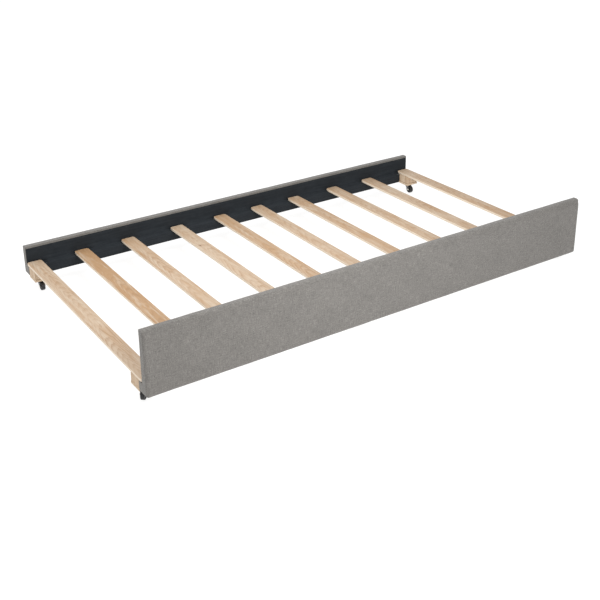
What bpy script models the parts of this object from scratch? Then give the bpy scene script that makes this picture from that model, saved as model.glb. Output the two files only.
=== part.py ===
# Trundle bed: two upholstered side rails joined by wooden slats, on four swivel casters.
# Metres, +Z up. X runs along the rails, Y from the front rail to the rear rail.
# The origin is on the floor, under the middle of the bed.
import bpy
import bmesh
import math
from mathutils import Matrix, Vector

# Whole bed
LENGTH = 1.905
WIDTH = 1.107
GROUND_CLEARANCE = 0.045
GAP = 0.0003

# Side rails: an upholstered panel with a ledger strip along the foot of its inner face
FRONT_RAIL_HEIGHT = 0.231
REAR_RAIL_HEIGHT = 0.117
RAIL_THICKNESS = 0.032
FABRIC = 0.0012
FOAM = 0.010
RAIL_ROUNDING = 0.008
FABRIC_RETURN = 0.020
END_RETURN = 0.012
LEDGER_INNER_FACE = 0.056
LEDGER_TOP = 0.0411
DUST_CLOTH = 0.0008
DUST_CLOTH_BELOW_TOP = 0.009
DUST_CLOTH_SHORT_OF_END = 0.003

# Slats, laid by hand: the centre-to-centre steps differ from one to the next
SLAT_WIDTH = 0.0575
SLAT_THICKNESS = 0.010
SLAT_CORNER = 0.009
SLAT_END_GAP = 0.003
SLAT_STEPS = (0.194, 0.201, 0.223, 0.208, 0.187, 0.195, 0.214, 0.203, 0.221)
FIRST_SLAT_EDGE = 0.001

# Corner blocks and the plywood pads under them
BLOCK_SIDE = 0.060
PAD_THICKNESS = 0.008
PAD_OVERHANG = 0.002

# Casters
WHEEL_RADIUS = 0.0175
WHEEL_WIDTH = 0.0145
WHEEL_SIDES = 20
TRAIL = 0.014
FORK_WIDTH = 0.021
FORK_SHEET = 0.0016
CASTER_PLATE_SIDE = 0.038
CASTER_PLATE = 0.0018
RACE_HEIGHT = 0.0024
RACE_RADIUS = 0.0105
KINGPIN_RADIUS = 0.003
AXLE_RADIUS = 0.0023
CROWN_SHEET = 0.0018
CROWN_REACH = 0.0112
LEG_END = 0.0062
THROAT = (0.0040, 0.0295)
BROW = (-0.0185, 0.0300)
KINGPIN_HEAD_RADIUS = 0.0052
KINGPIN_HEAD = 0.0018
RIVET_HEAD_RADIUS = 0.0042
RIVET_HEAD = 0.0013
PLATE_CORNER = 0.005
HUB_RISE = 0.0008
HUB_RADIUS = 0.0055
WEB_RECESS = 0.0020
RIM_INNER_RADIUS = 0.0128
TREAD_SHOULDER = 0.0028
RUNNING_CLEARANCE = 0.0004

# How far each caster has swivelled at rest, in degrees: at zero its wheel trails towards the front
SWIVEL_AT_REST = {"front_left": -40, "front_right": 70, "rear_left": 0, "rear_right": 0}

# Block screws: one long countersunk screw holds each corner block to its ledger
SHANK_RADIUS = 0.0024
HEAD_RADIUS = 0.0045
HEAD_DEPTH = 0.0030
PILOT_CLEARANCE = 0.0004
SCREW_TIP = 0.005
BLOCK_SCREW_LENGTH = 0.072
BLOCK_SCREW_RECESS = 0.002
BLOCK_SCREW_HEIGHT = 0.026

# Heights that follow from the sizes above
RAIL_FOOT = GROUND_CLEARANCE
LEDGER_TOP_Z = RAIL_FOOT + LEDGER_TOP
SLAT_BOTTOM_Z = LEDGER_TOP_Z + DUST_CLOTH + 2 * GAP
SLAT_LENGTH = WIDTH - 2 * (RAIL_THICKNESS + GAP + DUST_CLOTH + SLAT_END_GAP)
BLOCK_NEAR_FACE = LEDGER_INNER_FACE + DUST_CLOTH + 2 * GAP
CASTER_IN = BLOCK_NEAR_FACE + BLOCK_SIDE / 2

SIDES = {"front": -1, "rear": 1}
ENDS = {"left": -1, "right": 1}


def clear_scene():
    for obj in list(bpy.data.objects):
        bpy.data.objects.remove(obj, do_unlink=True)


def make_collection(name, hidden=False):
    collection = bpy.data.collections.new(name)
    bpy.context.scene.collection.children.link(collection)
    collection.hide_render = hidden
    return collection


def make_material(name, colour, roughness, metallic=0.0):
    material = bpy.data.materials.new(name)
    material.use_nodes = True
    shader = material.node_tree.nodes["Principled BSDF"]
    shader.inputs["Base Color"].default_value = (*colour, 1.0)
    shader.inputs["Roughness"].default_value = roughness
    shader.inputs["Metallic"].default_value = metallic
    return material


def add_object(name, mesh, material, collection):
    obj = bpy.data.objects.new(name, mesh)
    collection.objects.link(obj)
    mesh.materials.clear()
    mesh.materials.append(material)
    return obj


def mesh_of(name, bm):
    mesh = bpy.data.meshes.new(name)
    bm.normal_update()
    bm.to_mesh(mesh)
    bm.free()
    return mesh


def across(side, inward):
    # Y of a point that lies this far inward from a rail's outer face.
    return side * (WIDTH / 2 - inward)


def box_between(bm, low, high):
    # A box from one corner to the other, whatever the order of the corners.
    low, high = Vector(low), Vector(high)
    size = high - low
    place = Matrix.Translation((low + high) / 2)
    stretch = Matrix.Diagonal((abs(size.x), abs(size.y), abs(size.z), 1))
    return bmesh.ops.create_cube(bm, size=1, matrix=place @ stretch)["verts"]


def edges_along(bm, axis):
    return [e for e in bm.edges if abs((e.verts[1].co - e.verts[0].co).normalized()[axis]) > 0.99]


def add_box(name, low, high, material, collection, rounding=0.0, axis=None, segments=2):
    bm = bmesh.new()
    box_between(bm, low, high)
    if rounding:
        edges = bm.edges[:] if axis is None else edges_along(bm, axis)
        bmesh.ops.bevel(bm, geom=edges, offset=rounding, segments=segments, profile=0.5, affect="EDGES")
    return add_object(name, mesh_of(name, bm), material, collection)


def cut(obj, cutter):
    hole = obj.modifiers.new("cut " + cutter.name, "BOOLEAN")
    hole.operation = "DIFFERENCE"
    hole.object = cutter


def as_cutter(obj):
    obj.hide_render = True
    obj.display_type = "WIRE"
    return obj


def turned(name, profile, sides, material, collection, closed=False):
    # A turned shape about its own Z, from (radius, height) points that run down the outer side.
    bm = bmesh.new()
    points = [bm.verts.new((radius, 0, height)) for radius, height in profile]
    for start, end in zip(points, points[1:] + points[:1] if closed else points[1:]):
        bm.edges.new((start, end))
    obj = add_object(name, mesh_of(name, bm), material, collection)
    screw = obj.modifiers.new("turn", "SCREW")
    screw.axis = "Z"
    screw.steps = screw.render_steps = sides
    screw.use_merge_vertices = True
    screw.merge_threshold = 0.00001
    screw.use_smooth_shade = False
    return obj


def slat_centres():
    centre = -LENGTH / 2 + FIRST_SLAT_EDGE + SLAT_WIDTH / 2
    centres = [centre]
    for step in SLAT_STEPS:
        centre += step
        centres.append(centre)
    return centres


def corner_x(end, inward):
    return end * (LENGTH / 2 - inward)


def make_cover(name, side, height, material, collection):
    # Woven cover: one skin round the panel's face, edges and ends, and round the ledger's foot
    # and ends. It turns in over the panel's inner face by a narrow return and is open there.
    top = RAIL_FOOT + height
    section = [
        (0, RAIL_FOOT),
        (0, top),
        (RAIL_THICKNESS, top),
        (RAIL_THICKNESS, LEDGER_TOP_Z),
        (LEDGER_INNER_FACE, LEDGER_TOP_Z),
        (LEDGER_INNER_FACE, RAIL_FOOT),
    ]
    bm = bmesh.new()
    outline = [bm.verts.new((-LENGTH / 2, across(side, inward), z)) for inward, z in section]
    face = bm.faces.new(outline)
    swept = bmesh.ops.extrude_face_region(bm, geom=[face])["geom"]
    moved = [v for v in swept if isinstance(v, bmesh.types.BMVert)]
    bmesh.ops.translate(bm, verts=moved, vec=(LENGTH, 0, 0))
    bmesh.ops.recalc_face_normals(bm, faces=bm.faces)

    cuts = [((0, 0, top - FABRIC_RETURN), (0, 0, 1))]
    cuts += [((corner_x(end, END_RETURN), 0, 0), (1, 0, 0)) for end in ENDS.values()]
    inner = across(side, RAIL_THICKNESS)
    for point, normal in cuts:
        faces = [f for f in bm.faces if all(abs(v.co.y - inner) < 1e-6 for v in f.verts)]
        around = {g for f in faces for g in (f, *f.edges, *f.verts)}
        bmesh.ops.bisect_plane(bm, geom=list(around), plane_co=point, plane_no=normal)

    def is_open(face):
        centre = face.calc_center_median()
        on_panel = abs(centre.y - inner) < 1e-6
        in_window = abs(centre.x) < LENGTH / 2 - END_RETURN and centre.z < top - FABRIC_RETURN
        on_ledger_top = abs(face.normal.z) > 0.9 and abs(centre.z - LEDGER_TOP_Z) < 1e-6
        on_ledger_face = abs(centre.y - across(side, LEDGER_INNER_FACE)) < 1e-6
        return (on_panel and in_window) or on_ledger_top or on_ledger_face

    bmesh.ops.delete(bm, geom=[f for f in bm.faces if is_open(f)], context="FACES")
    outer = across(side, 0)
    end_x, foot = LENGTH / 2 - 1e-6, RAIL_FOOT + 1e-6

    def is_soft(edge):
        a, b = (v.co for v in edge.verts)
        round_the_face = abs(a.y - outer) < 1e-6 and abs(b.y - outer) < 1e-6
        at_end = abs(a.x) > end_x and abs(b.x) > end_x
        at_foot = a.z < foot and b.z < foot
        return round_the_face or (at_end and at_foot)

    soft = [e for e in bm.edges if is_soft(e)]
    bmesh.ops.bevel(bm, geom=soft, offset=RAIL_ROUNDING, segments=3, profile=0.5, affect="EDGES")
    obj = add_object(name, mesh_of(name, bm), material, collection)
    skin = obj.modifiers.new("fabric thickness", "SOLIDIFY")
    skin.thickness = FABRIC
    skin.offset = -1
    return obj


def make_padded_core(side, height, foam_name, board_name, materials, collection):
    # Foam on the outer face, on a wooden board: both lie just inside the cover.
    inset = FABRIC + GAP
    low, high = RAIL_FOOT + inset, RAIL_FOOT + height - inset
    half = LENGTH / 2 - inset
    radius = RAIL_ROUNDING - FABRIC
    foam_back = inset + FOAM

    bm = bmesh.new()
    box_between(bm, (-half, across(side, inset), low), (half, across(side, foam_back), high))
    outer = across(side, inset)
    soft = [e for e in bm.edges if any(abs(v.co.y - outer) < 1e-6 for v in e.verts)]
    bmesh.ops.bevel(bm, geom=soft, offset=radius, segments=3, profile=0.5, affect="EDGES")
    add_object(foam_name, mesh_of(foam_name, bm), materials["foam"], collection)

    board_front = across(side, foam_back + GAP)
    board_back = across(side, RAIL_THICKNESS - FABRIC - GAP)
    corners = ((-half, board_front, low), (half, board_back, high))
    board = add_box(board_name, *corners, materials["board"], collection)
    round_foot_ends(board, low, radius)


def round_foot_ends(obj, foot, radius):
    # The lower end edges follow the cover's rounded corners.
    bm = bmesh.new()
    bm.from_mesh(obj.data)
    ends = [e for e in edges_along(bm, 1) if all(v.co.z < foot + 1e-6 for v in e.verts)]
    bmesh.ops.bevel(bm, geom=ends, offset=radius, segments=3, profile=0.5, affect="EDGES")
    bm.to_mesh(obj.data)
    bm.free()


def make_ledger(name, side, material, collection):
    low = (-LENGTH / 2 + FABRIC + GAP, across(side, RAIL_THICKNESS - FABRIC), RAIL_FOOT + FABRIC + GAP)
    high = (LENGTH / 2 - FABRIC - GAP, across(side, LEDGER_INNER_FACE), LEDGER_TOP_Z)
    ledger = add_box(name, low, high, material, collection)
    round_foot_ends(ledger, low[2], RAIL_ROUNDING - FABRIC)
    return ledger


def make_dust_cloth(name, side, height, material, collection):
    # Black non-woven cloth over the panel's inner face, the ledger's top and its inner face.
    top = RAIL_FOOT + height - DUST_CLOTH_BELOW_TOP
    face = RAIL_THICKNESS + GAP
    drop = LEDGER_INNER_FACE + GAP
    route = [
        (face, top),
        (face, LEDGER_TOP_Z + GAP),
        (drop, LEDGER_TOP_Z + GAP),
        (drop, RAIL_FOOT + 0.002),
    ]
    half = LENGTH / 2 - DUST_CLOTH_SHORT_OF_END
    bm = bmesh.new()
    line = [bm.verts.new((-half, across(side, inward), z)) for inward, z in route]
    edges = [bm.edges.new(pair) for pair in zip(line, line[1:])]
    swept = bmesh.ops.extrude_edge_only(bm, edges=edges)["geom"]
    moved = [v for v in swept if isinstance(v, bmesh.types.BMVert)]
    bmesh.ops.translate(bm, verts=moved, vec=(2 * half, 0, 0))
    bmesh.ops.recalc_face_normals(bm, faces=bm.faces)
    first = bm.faces[:][0]
    if first.normal.y * side > 0:
        bmesh.ops.reverse_faces(bm, faces=bm.faces)
    cloth = add_object(name, mesh_of(name, bm), material, collection)
    skin = cloth.modifiers.new("cloth thickness", "SOLIDIFY")
    skin.thickness = DUST_CLOTH
    skin.offset = 1
    skin.use_even_offset = True
    return cloth


def make_slat(name, centre, mesh, material, collection):
    slat = add_object(name, mesh.copy(), material, collection)
    slat.location = (centre, 0, SLAT_BOTTOM_Z + SLAT_THICKNESS / 2)
    return slat


def slat_mesh():
    half = Vector((SLAT_WIDTH, SLAT_LENGTH, SLAT_THICKNESS)) / 2
    bm = bmesh.new()
    box_between(bm, -half, half)
    corners = edges_along(bm, 2)
    bmesh.ops.bevel(bm, geom=corners, offset=SLAT_CORNER, segments=3, profile=0.5, affect="EDGES")
    return mesh_of("slat", bm)


def make_corner(side_name, end_name, materials, collection):
    # A solid block under the end slat, with a plywood pad that carries the caster.
    side, end = SIDES[side_name], ENDS[end_name]
    outer_x = corner_x(end, FIRST_SLAT_EDGE)
    near, far = across(side, BLOCK_NEAR_FACE), across(side, BLOCK_NEAR_FACE + BLOCK_SIDE)
    pad_top = RAIL_FOOT + PAD_THICKNESS
    name = f"{side_name}_{end_name}"
    low = (outer_x, near, pad_top + GAP)
    high = (outer_x - end * BLOCK_SIDE, far, SLAT_BOTTOM_Z - GAP)
    block = add_box(f"{name}_corner_block", low, high, materials["block"], collection, 0.0015, segments=1)
    low = (outer_x, near, RAIL_FOOT)
    high = (outer_x - end * (BLOCK_SIDE + PAD_OVERHANG), far - side * PAD_OVERHANG, pad_top)
    add_box(f"{name}_plywood_pad", low, high, materials["plywood"], collection)
    return block


def make_block_screw(side_name, end_name, pieces, steel, collection, cutters):
    # It enters the block's inner face, passes through it, and ends in the ledger.
    side, end = SIDES[side_name], ENDS[end_name]
    name = f"{side_name}_{end_name}_block_screw"
    x = corner_x(end, FIRST_SLAT_EDGE + BLOCK_SIDE / 2)
    head_y = across(side, BLOCK_NEAR_FACE + BLOCK_SIDE - BLOCK_SCREW_RECESS)
    place = (x, head_y, RAIL_FOOT + BLOCK_SCREW_HEIGHT)
    tilt = (side * math.pi / 2, 0, 0)
    shank = [
        (0, 0),
        (HEAD_RADIUS, 0),
        (SHANK_RADIUS, -HEAD_DEPTH),
        (SHANK_RADIUS, SCREW_TIP - BLOCK_SCREW_LENGTH),
        (0, -BLOCK_SCREW_LENGTH),
    ]
    wide, narrow = HEAD_RADIUS + PILOT_CLEARANCE, SHANK_RADIUS + PILOT_CLEARANCE
    depth = BLOCK_SCREW_LENGTH + 0.001
    bore = [(0, 0.01), (wide, 0.01), (wide, -HEAD_DEPTH / 2), (narrow, -HEAD_DEPTH * 1.5), (narrow, -depth)]
    screw = turned(name, shank, 10, steel, collection)
    hole = as_cutter(turned(f"{name}_hole", bore + [(0, -depth)], 10, steel, cutters))
    for piece in (screw, hole):
        piece.location = place
        piece.rotation_euler = tilt
    for piece in pieces:
        cut(piece, hole)


def outline_solid(name, points, half_width, material, collection):
    # A flat outline in (y, z), made solid between -half_width and +half_width in X.
    bm = bmesh.new()
    face = bm.faces.new([bm.verts.new((-half_width, y, z)) for y, z in points])
    swept = bmesh.ops.extrude_face_region(bm, geom=[face])["geom"]
    moved = [v for v in swept if isinstance(v, bmesh.types.BMVert)]
    bmesh.ops.translate(bm, verts=moved, vec=(2 * half_width, 0, 0))
    bmesh.ops.recalc_face_normals(bm, faces=bm.faces)
    return add_object(name, mesh_of(name, bm), material, collection)


def cylinder_cutter(name, radius, depth, place, material, collection, sides=16):
    bm = bmesh.new()
    bmesh.ops.create_cone(
        bm, cap_ends=True, segments=sides, radius1=radius, radius2=radius, depth=depth, matrix=place
    )
    return as_cutter(add_object(name, mesh_of(name, bm), material, collection))


# Heights inside a caster, from the pad down
PLATE_TOP = RAIL_FOOT - GAP
PLATE_BOTTOM = PLATE_TOP - CASTER_PLATE
RACE_TOP = PLATE_BOTTOM - GAP
CROWN_TOP = RACE_TOP - RACE_HEIGHT - GAP
CROWN_BOTTOM = CROWN_TOP - CROWN_SHEET


def fork_outline():
    # Side view of the fork, swivel axis at y = 0: a crown, and legs that reach back to the axle.
    axle_y, axle_z = -TRAIL, WHEEL_RADIUS
    arc = [math.radians(a) for a in range(-10, -171, -32)]
    foot = [(axle_y + LEG_END * math.cos(a), axle_z + LEG_END * math.sin(a)) for a in arc]
    back = [(CROWN_REACH, CROWN_TOP), (CROWN_REACH, CROWN_BOTTOM - 0.001), THROAT]
    front = [BROW, (-CROWN_REACH, CROWN_BOTTOM), (-CROWN_REACH, CROWN_TOP)]
    return back + foot + front


def make_caster(side_name, end_name, materials, collection, cutters):
    # Every piece is placed from an empty on the floor under the swivel axis.
    side, end = SIDES[side_name], ENDS[end_name]
    name = f"{side_name}_{end_name}_caster"
    centre = Vector((corner_x(end, FIRST_SLAT_EDGE + BLOCK_SIDE / 2), across(side, CASTER_IN), 0))
    swivel = bpy.data.objects.new(f"{name}_swivel_axis", None)
    collection.objects.link(swivel)
    swivel.location = centre
    swivel.rotation_euler = (0, 0, math.radians(SWIVEL_AT_REST[f"{side_name}_{end_name}"]))
    steel, plastic = materials["caster steel"], materials["wheel plastic"]

    half = CASTER_PLATE_SIDE / 2
    plate_corners = ((-half, -half, PLATE_BOTTOM), (half, half, PLATE_TOP))
    plate = add_box(f"{name}_plate", *plate_corners, steel, collection, PLATE_CORNER, axis=2)

    bore = KINGPIN_RADIUS + RUNNING_CLEARANCE
    middle = Matrix.Translation((0, 0, CROWN_TOP))
    kingpin_hole = cylinder_cutter(f"{name}_kingpin_hole", bore, 0.02, middle, steel, cutters)
    cut(plate, kingpin_hole)

    race_bottom = RACE_TOP - RACE_HEIGHT
    race_profile = [
        (RACE_RADIUS - 0.001, RACE_TOP),
        (RACE_RADIUS, (RACE_TOP + race_bottom) / 2),
        (RACE_RADIUS - 0.001, race_bottom),
        (bore, race_bottom),
        (bore, RACE_TOP),
    ]
    race = turned(f"{name}_race", race_profile, 16, steel, collection, closed=True)

    fork = outline_solid(f"{name}_fork", fork_outline(), FORK_WIDTH / 2, steel, collection)
    inside = FORK_WIDTH / 2 - FORK_SHEET
    bm = bmesh.new()
    box_between(bm, (-inside, -0.05, -0.01), (inside, 0.05, CROWN_BOTTOM))
    slot = as_cutter(add_object(f"{name}_wheel_slot", mesh_of("slot", bm), steel, cutters))
    cut(fork, slot)
    cut(fork, kingpin_hole)
    axle_place = Matrix.Translation((0, -TRAIL, WHEEL_RADIUS)) @ Matrix.Rotation(math.pi / 2, 4, "Y")
    axle_hole = cylinder_cutter(f"{name}_axle_hole", AXLE_RADIUS + GAP, 0.04, axle_place, steel, cutters)
    cut(fork, axle_hole)

    head_low = CROWN_BOTTOM - GAP - KINGPIN_HEAD
    kingpin_profile = [
        (0, PLATE_TOP),
        (KINGPIN_RADIUS, PLATE_TOP),
        (KINGPIN_RADIUS, CROWN_BOTTOM - GAP),
        (KINGPIN_HEAD_RADIUS, CROWN_BOTTOM - GAP),
        (KINGPIN_HEAD_RADIUS - 0.0007, head_low),
        (0, head_low),
    ]
    kingpin = turned(f"{name}_kingpin", kingpin_profile, 16, steel, collection)

    reach = FORK_WIDTH / 2 + GAP
    tip = reach + RIVET_HEAD
    head = [(0, tip), (RIVET_HEAD_RADIUS - 0.0008, tip), (RIVET_HEAD_RADIUS, reach)]
    axle_profile = head + [(AXLE_RADIUS, reach)]
    axle_profile += [(radius, -height) for radius, height in reversed(axle_profile)]
    axle = turned(f"{name}_axle", axle_profile, 12, steel, collection)
    axle.location = (0, -TRAIL, WHEEL_RADIUS)
    axle.rotation_euler = (0, math.pi / 2, 0)

    # The wheel stands on a flat of its faceted tread, so its points lie a little further out.
    rim = WHEEL_RADIUS / math.cos(math.pi / WHEEL_SIDES)
    hub = WHEEL_WIDTH / 2 + HUB_RISE
    tread = WHEEL_WIDTH / 2
    half_wheel = [
        (AXLE_RADIUS + RUNNING_CLEARANCE, hub),
        (HUB_RADIUS, hub),
        (HUB_RADIUS + 0.0007, tread - WEB_RECESS),
        (RIM_INNER_RADIUS, tread - WEB_RECESS),
        (RIM_INNER_RADIUS + 0.0010, tread),
        (rim - 0.0012, tread - 0.0003),
        (rim, tread - TREAD_SHOULDER),
    ]
    wheel_profile = half_wheel + [(radius, -height) for radius, height in reversed(half_wheel)]
    wheel = turned(f"{name}_wheel", wheel_profile, WHEEL_SIDES, plastic, collection, closed=True)
    wheel.location = (0, -TRAIL, WHEEL_RADIUS)
    wheel.rotation_mode = "ZYX"
    wheel.rotation_euler = (math.pi / WHEEL_SIDES, math.pi / 2, 0)

    for piece in (race, fork, kingpin, axle, wheel, kingpin_hole, slot, axle_hole):
        piece.parent = swivel
    plate.location = centre


def make_bed():
    clear_scene()
    bed = make_collection("trundle_bed")
    cutters = make_collection("cutters", hidden=True)
    materials = {
        "fabric": make_material("grey woven fabric", (0.27, 0.26, 0.24), 0.95),
        "foam": make_material("foam", (0.80, 0.74, 0.55), 0.95),
        "board": make_material("rail board", (0.62, 0.47, 0.30), 0.75),
        "cloth": make_material("black dust cloth", (0.025, 0.030, 0.034), 0.80),
        "slat": make_material("pale slat wood", (0.68, 0.48, 0.30), 0.60),
        "block": make_material("corner block wood", (0.64, 0.44, 0.27), 0.65),
        "plywood": make_material("plywood", (0.74, 0.58, 0.40), 0.70),
        "caster steel": make_material("black steel", (0.02, 0.02, 0.02), 0.40, 1.0),
        "wheel plastic": make_material("black wheel plastic", (0.015, 0.015, 0.015), 0.45),
        "screw steel": make_material("zinc screw", (0.70, 0.68, 0.60), 0.35, 1.0),
    }

    ledgers, cloths = {}, {}
    for side_name, side in SIDES.items():
        height = FRONT_RAIL_HEIGHT if side < 0 else REAR_RAIL_HEIGHT
        rail = f"{side_name}_rail"
        make_cover(f"{rail}_cover", side, height, materials["fabric"], bed)
        make_padded_core(side, height, f"{rail}_foam", f"{rail}_board", materials, bed)
        ledgers[side_name] = make_ledger(f"{side_name}_ledger", side, materials["board"], bed)
        cloths[side_name] = make_dust_cloth(f"{rail}_dust_cloth", side, height, materials["cloth"], bed)

    shared = slat_mesh()
    for number, centre in enumerate(slat_centres(), start=1):
        make_slat(f"slat_{number:02d}", centre, shared, materials["slat"], bed)
    bpy.data.meshes.remove(shared)

    for side_name in SIDES:
        for end_name in ENDS:
            block = make_corner(side_name, end_name, materials, bed)
            fastened = (block, cloths[side_name], ledgers[side_name])
            make_block_screw(side_name, end_name, fastened, materials["screw steel"], bed, cutters)
            make_caster(side_name, end_name, materials, bed, cutters)


make_bed()
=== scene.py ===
import math
import bmesh
import bpy
from mathutils import Matrix, Vector, noise


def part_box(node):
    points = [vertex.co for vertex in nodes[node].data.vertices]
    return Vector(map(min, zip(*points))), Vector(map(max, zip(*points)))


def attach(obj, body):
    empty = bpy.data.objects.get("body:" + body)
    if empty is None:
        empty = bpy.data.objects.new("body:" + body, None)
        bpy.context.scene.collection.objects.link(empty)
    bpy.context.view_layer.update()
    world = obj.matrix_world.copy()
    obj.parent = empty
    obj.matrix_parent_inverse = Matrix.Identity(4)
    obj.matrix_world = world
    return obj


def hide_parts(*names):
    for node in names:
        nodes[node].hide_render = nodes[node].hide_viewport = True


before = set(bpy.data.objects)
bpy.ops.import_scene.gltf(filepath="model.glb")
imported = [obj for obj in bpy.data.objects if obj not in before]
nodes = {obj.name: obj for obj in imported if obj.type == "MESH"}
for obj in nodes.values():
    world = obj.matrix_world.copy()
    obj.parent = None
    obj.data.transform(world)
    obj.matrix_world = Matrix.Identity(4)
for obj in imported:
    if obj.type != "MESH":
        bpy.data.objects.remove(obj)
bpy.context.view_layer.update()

sides = {"front": -1, "rear": 1}      # the way each rail faces, along Y
corners = [f"{side}_{end}" for side in sides for end in ("left", "right")]
hair = 0.0001                         # gap that keeps two surfaces apart
touch = 1e-5                          # points closer than this lie in one plane


view = {
    "place": (-1.976, -2.952, 1.696),
    "turned": 33.563,                 # degrees from +Y towards +X
    "down": 21.299,
    "roll": -0.587,
    "lens": 58.685,
    "shiftY": -0.1667,
}

studio = {
    "floorSize": 80,
    "floorTone": 0.28,
    "floorGlow": 0.84,                # keeps the shadows pale
    "surround": 0.74,                 # light that comes from all round
    "backdrop": 1.0,                  # the same surround as the camera sees it
    "lamps": {
        "key": {"place": (-0.22, -1.75, 0.9), "aim": (-0.16, -0.55, 0.12), "size": 0.8, "power": 15},
        "top": {"place": (-0.3, 0.1, 1.9), "aim": (-0.1, 0.0, 0), "size": 1.2, "power": 17},
        "side": {"place": (-3.0, 0.7, 1.4), "aim": (-0.8, 0.2, 0.1), "size": 1.2, "power": 12},
    },
}


def placeCamera():
    data = bpy.data.cameras.new("camera")
    camera = bpy.data.objects.new("camera", data)
    bpy.context.scene.collection.objects.link(camera)
    data.lens = view["lens"]
    data.shift_y = view["shiftY"]
    data.clip_start, data.clip_end = 0.05, 200
    turned = Matrix.Rotation(math.radians(-view["turned"]), 4, "Z")
    tipped = Matrix.Rotation(math.radians(90 - view["down"]), 4, "X")
    rolled = Matrix.Rotation(math.radians(view["roll"]), 4, "Z")
    camera.matrix_world = Matrix.Translation(view["place"]) @ turned @ tipped @ rolled
    bpy.context.scene.camera = camera


def letGo():
    # object mode, nothing selected
    if bpy.context.mode != "OBJECT":
        bpy.ops.object.mode_set(mode="OBJECT")
    bpy.ops.object.select_all(action="DESELECT")


def lightStudio():
    scene = bpy.context.scene
    scene.view_settings.view_transform = "Standard"
    world = bpy.data.worlds.new("studio")
    world.use_nodes = True
    scene.world = world
    tree = world.node_tree
    around = tree.nodes["Background"]
    around.inputs["Strength"].default_value = studio["surround"]
    around.inputs["Color"].default_value = (1, 1, 1, 1)
    seen = tree.nodes.new("ShaderNodeBackground")
    seen.inputs["Color"].default_value = (1, 1, 1, 1)
    seen.inputs["Strength"].default_value = studio["backdrop"]
    ray = tree.nodes.new("ShaderNodeLightPath")
    either = tree.nodes.new("ShaderNodeMixShader")
    tree.links.new(ray.outputs["Is Camera Ray"], either.inputs[0])
    tree.links.new(around.outputs[0], either.inputs[1])
    tree.links.new(seen.outputs[0], either.inputs[2])
    tree.links.new(either.outputs[0], tree.nodes["World Output"].inputs["Surface"])
    for name, lamp in studio["lamps"].items():
        data = bpy.data.lights.new(name, "AREA")
        data.shape = "DISK"
        data.size = lamp["size"]
        data.energy = lamp["power"]
        light = bpy.data.objects.new(name, data)
        scene.collection.objects.link(light)
        light.location = lamp["place"]
        aim = Vector(lamp["aim"]) - Vector(lamp["place"])
        light.rotation_euler = aim.to_track_quat("-Z", "Y").to_euler()
        light.visible_camera = False

    letGo()
    bpy.ops.mesh.primitive_circle_add(vertices=96, radius=studio["floorSize"] / 2, fill_type="NGON")
    floor = bpy.context.object
    floor.name = "studio_floor"
    paper = bpy.data.materials.new("floor paper")
    paper.use_nodes = True
    shader = paper.node_tree.nodes["Principled BSDF"]
    shader.inputs["Base Color"].default_value = (*[studio["floorTone"]] * 3, 1)
    shader.inputs["Roughness"].default_value = 0.9
    shader.inputs["Specular IOR Level"].default_value = 0.1
    shader.inputs["Emission Color"].default_value = (1, 1, 1, 1)
    shader.inputs["Emission Strength"].default_value = studio["floorGlow"]
    floor.data.materials.append(paper)


placeCamera()
lightStudio()
print("camera, floor and lights are up")


def keepAs(name):
    # names the newest primitive and moves its place into its mesh
    obj = bpy.context.object
    obj.name = obj.data.name = name
    bpy.ops.object.transform_apply(location=True, rotation=True, scale=True)
    return obj


def addBox(name, low, high):
    letGo()
    low, high = Vector(low), Vector(high)
    size = [abs(b - a) for a, b in zip(low, high)]
    bpy.ops.mesh.primitive_cube_add(size=1, location=(low + high) / 2, scale=size)
    return keepAs(name)


def addRod(name, radius, depth, place, axis="Z", around=32):
    letGo()
    turn = {"X": (0, math.pi / 2, 0), "Y": (-math.pi / 2, 0, 0), "Z": (0, 0, 0)}[axis]
    bpy.ops.mesh.primitive_cylinder_add(
        vertices=around, radius=radius, depth=depth, location=place, rotation=turn
    )
    return keepAs(name)


def shape(obj):
    letGo()
    obj.select_set(True)
    bpy.context.view_layer.objects.active = obj
    bpy.ops.object.mode_set(mode="EDIT")


def pick(kind, test):
    # in edit mode: selects the faces, edges or verts that pass the test, and no others
    bpy.ops.mesh.select_mode(type={"faces": "FACE", "edges": "EDGE", "verts": "VERT"}[kind])
    bpy.ops.mesh.select_all(action="DESELECT")
    mesh = bpy.context.object.data
    parts = bmesh.from_edit_mesh(mesh)
    for item in getattr(parts, kind):
        if test(item):
            item.select_set(True)
    bmesh.update_edit_mesh(mesh)


def middle(edge):
    return (edge.verts[0].co + edge.verts[1].co) / 2


def runsAlong(edge, axis):
    return abs((edge.verts[1].co - edge.verts[0].co).normalized()[axis]) > 0.99


def isSharp(edge, degrees=50):
    return edge.calc_face_angle(0) > math.radians(degrees)


def roundEdges(test, width, segments=3):
    pick("edges", test)
    bpy.ops.mesh.bevel(offset=width, segments=segments, affect="EDGES", clamp_overlap=True)


def modify(obj, kind, **settings):
    letGo()
    obj.select_set(True)
    bpy.context.view_layer.objects.active = obj
    modifier = obj.modifiers.new(kind.lower(), kind)
    for key, value in settings.items():
        setattr(modifier, key, value)
    bpy.ops.object.modifier_apply(modifier=modifier.name)


def carve(obj, cutter, operation="DIFFERENCE"):
    modify(obj, "BOOLEAN", object=cutter, operation=operation, solver="EXACT")
    bpy.data.objects.remove(cutter)


def copyOf(obj, name, move=(0, 0, 0), turn=0):
    # a copy with its own mesh, its place in the mesh
    twin = obj.copy()
    twin.data = obj.data.copy()
    twin.name = twin.data.name = name
    bpy.context.scene.collection.objects.link(twin)
    twin.data.transform(Matrix.Translation(move) @ Matrix.Rotation(turn, 4, "Z"))
    return twin


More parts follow.
